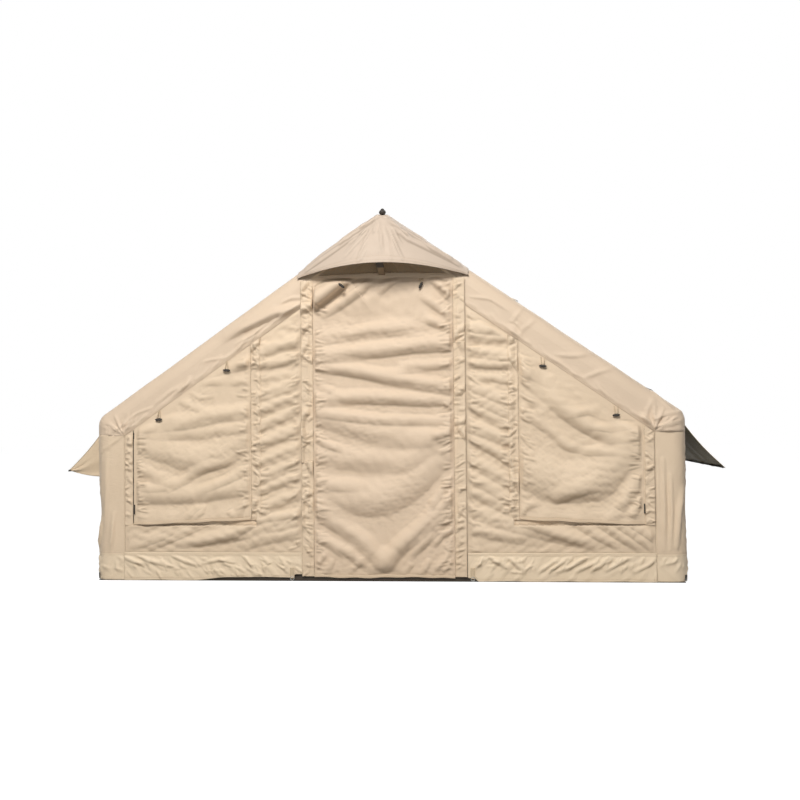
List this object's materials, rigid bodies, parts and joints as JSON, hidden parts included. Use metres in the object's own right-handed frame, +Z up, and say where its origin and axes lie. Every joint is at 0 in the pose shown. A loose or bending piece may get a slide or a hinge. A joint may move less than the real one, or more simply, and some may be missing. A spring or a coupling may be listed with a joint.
{
  "type": "inflatable tent",
  "caption": "Gable tent on air tubes, with a zipped door flap, flap-covered windows, a hooded gable vent and canopies over the side windows.",
  "frame": {"origin": "on the ground, in the middle of the footprint that the canopies and the hood span", "axes": "+Z up, door faces -Y, +X to the right of someone facing the door"},
  "size_m": [4.5702, 3.2, 2.5207],
  "materials": {
    "air_tube": "satin coated fabric, air-tight",
    "net": "fine dark mesh",
    "black_plastic": "matt black moulded plastic",
    "zip_metal": "black enamelled zip slider",
    "black_webbing": "black woven webbing",
    "pale_webbing": "pale beige woven webbing and zip tape",
    "groundsheet": "dark coated ground cloth",
    "canopy_cloth": "beige coated cloth with a dark olive lining underneath",
    "roof_cloth": "beige coated polyester, soft sheen",
    "wall_cloth": "beige coated polyester, wrinkled"
  },
  "bodies": {
    "tent": {"arch_front": "air_tube", "arch_rear": "air_tube", "eave_tube_left": "air_tube", "eave_tube_right": "air_tube", "ridge_tube": "air_tube", "inflation_valve": "black_plastic", "roof_left": "roof_cloth", "roof_right": "roof_cloth", "side_wall_left": "wall_cloth", "side_wall_right": "wall_cloth", "side_window_net_left": "net", "side_window_net_right": "net", "front_wall_left": "wall_cloth", "window_net_left": "net", "front_wall_right": "wall_cloth", "window_net_right": "net", "window_zip_cover_inner_left": "wall_cloth", "window_zip_cover_outer_left": "wall_cloth", "window_zip_cover_inner_right": "wall_cloth", "window_zip_cover_outer_right": "wall_cloth", "gable_panel": "wall_cloth", "vent_net": "net", "vent_hood": "roof_cloth", "door_zip_left": "pale_webbing", "door_zip_right": "pale_webbing", "door_zip_cover_left": "wall_cloth", "door_zip_cover_right": "wall_cloth", "front_skirt_left": "wall_cloth", "front_skirt_right": "wall_cloth", "rear_wall": "wall_cloth", "groundsheet": "groundsheet", "ridge_finial": "black_plastic", "corner_anchor_front_left": "black_webbing", "corner_anchor_rear_left": "black_webbing", "corner_anchor_front_right": "black_webbing", "corner_anchor_rear_right": "black_webbing", "peg_strap_left": "pale_webbing", "peg_strap_right": "pale_webbing", "guy_tab_high": "black_webbing", "guy_tab_low": "black_webbing"},
    "door_flap": {"door_flap": "wall_cloth"},
    "window_flap_left": {"window_flap_left": "wall_cloth"},
    "window_flap_right": {"window_flap_right": "wall_cloth"},
    "window_pull_left": {"window_zip_pull_left": "black_plastic"},
    "window_pull_right": {"window_zip_pull_right": "black_plastic"},
    "canopy_left": {"side_canopy_left": "canopy_cloth", "canopy_rod_left": "black_plastic"},
    "canopy_right": {"side_canopy_right": "canopy_cloth", "canopy_rod_right": "black_plastic"},
    "vent_prop": {"vent_prop": "black_plastic"},
    "door_slider_left": {"door_zip_slider_left": "zip_metal"},
    "door_slider_right": {"door_zip_slider_right": "zip_metal"},
    "valve_cap": {"valve_cap": "black_plastic"},
    "window_toggle_high_left": {"window_toggle_high_left": "black_plastic"},
    "window_toggle_low_left": {"window_toggle_low_left": "black_plastic"},
    "window_toggle_high_right": {"window_toggle_high_right": "black_plastic"},
    "window_toggle_low_right": {"window_toggle_low_right": "black_plastic"},
    "door_toggle_left": {"door_toggle_left": "black_plastic"},
    "door_toggle_right": {"door_toggle_right": "black_plastic"}
  },
  "joints": [
    {"name": "door_swing", "type": "hinge", "parent": "tent", "child": "door_flap", "pos_m": [0, -1.4005, 1.9473], "axis": [-1, 0, 0], "range_deg": [0, 85]},
    {"name": "window_flap_swing_left", "type": "hinge", "parent": "tent", "child": "window_flap_left", "pos_m": [-0.88, -1.4005, 1.52113], "axis": [-0.8212, 0, -0.5707], "range_deg": [0, 80]},
    {"name": "window_pull_slide_left", "type": "slide", "parent": "window_flap_left", "child": "window_pull_left", "axis": [0, 0, 1], "range_m": [0, 0.4]},
    {"name": "door_zip_slide_left", "type": "slide", "parent": "tent", "child": "door_slider_left", "axis": [0, 0, 1], "range_m": [0, 1.8]},
    {"name": "canopy_swing_left", "type": "hinge", "parent": "tent", "child": "canopy_left", "pos_m": [-2.0005, 0.1, 1.05473], "axis": [0, 1, 0], "range_deg": [-30, 48]},
    {"name": "window_flap_swing_right", "type": "hinge", "parent": "tent", "child": "window_flap_right", "pos_m": [0.88, -1.4005, 1.52113], "axis": [-0.8212, 0, 0.5707], "range_deg": [0, 80]},
    {"name": "window_pull_slide_right", "type": "slide", "parent": "window_flap_right", "child": "window_pull_right", "axis": [0, 0, 1], "range_m": [0, 0.4]},
    {"name": "door_zip_slide_right", "type": "slide", "parent": "tent", "child": "door_slider_right", "axis": [0, 0, 1], "range_m": [0, 1.8]},
    {"name": "canopy_swing_right", "type": "hinge", "parent": "tent", "child": "canopy_right", "pos_m": [2.0005, 0.1, 1.05473], "axis": [0, -1, 0], "range_deg": [-30, 48]},
    {"name": "vent_prop_fold", "type": "hinge", "parent": "tent", "child": "vent_prop", "pos_m": [0, -1.4025, 2.056], "axis": [-1, 0, 0], "range_deg": [0, 62]},
    {"name": "valve_cap_pull", "type": "slide", "parent": "tent", "child": "valve_cap", "axis": [1, 0, 0], "range_m": [0, 0.04]},
    {"name": "window_toggle_high_left_swing", "type": "hinge", "parent": "tent", "child": "window_toggle_high_left", "pos_m": [-1.06656, -1.40175, 1.49033], "axis": [-1, 0, 0], "range_deg": [0, 60]},
    {"name": "window_toggle_low_left_swing", "type": "hinge", "parent": "tent", "child": "window_toggle_low_left", "pos_m": [-1.54144, -1.40175, 1.16028], "axis": [-1, 0, 0], "range_deg": [0, 60]},
    {"name": "window_toggle_high_right_swing", "type": "hinge", "parent": "tent", "child": "window_toggle_high_right", "pos_m": [1.06656, -1.40175, 1.49033], "axis": [-1, 0, 0], "range_deg": [0, 60]},
    {"name": "window_toggle_low_right_swing", "type": "hinge", "parent": "tent", "child": "window_toggle_low_right", "pos_m": [1.54144, -1.40175, 1.16028], "axis": [-1, 0, 0], "range_deg": [0, 60]},
    {"name": "door_toggle_left_swing", "type": "hinge", "parent": "tent", "child": "door_toggle_left", "pos_m": [-0.263, -1.40175, 2.035], "axis": [-1, 0, 0], "range_deg": [0, 60]},
    {"name": "door_toggle_right_swing", "type": "hinge", "parent": "tent", "child": "door_toggle_right", "pos_m": [0.263, -1.40175, 2.035], "axis": [-1, 0, 0], "range_deg": [0, 60]}
  ]
}
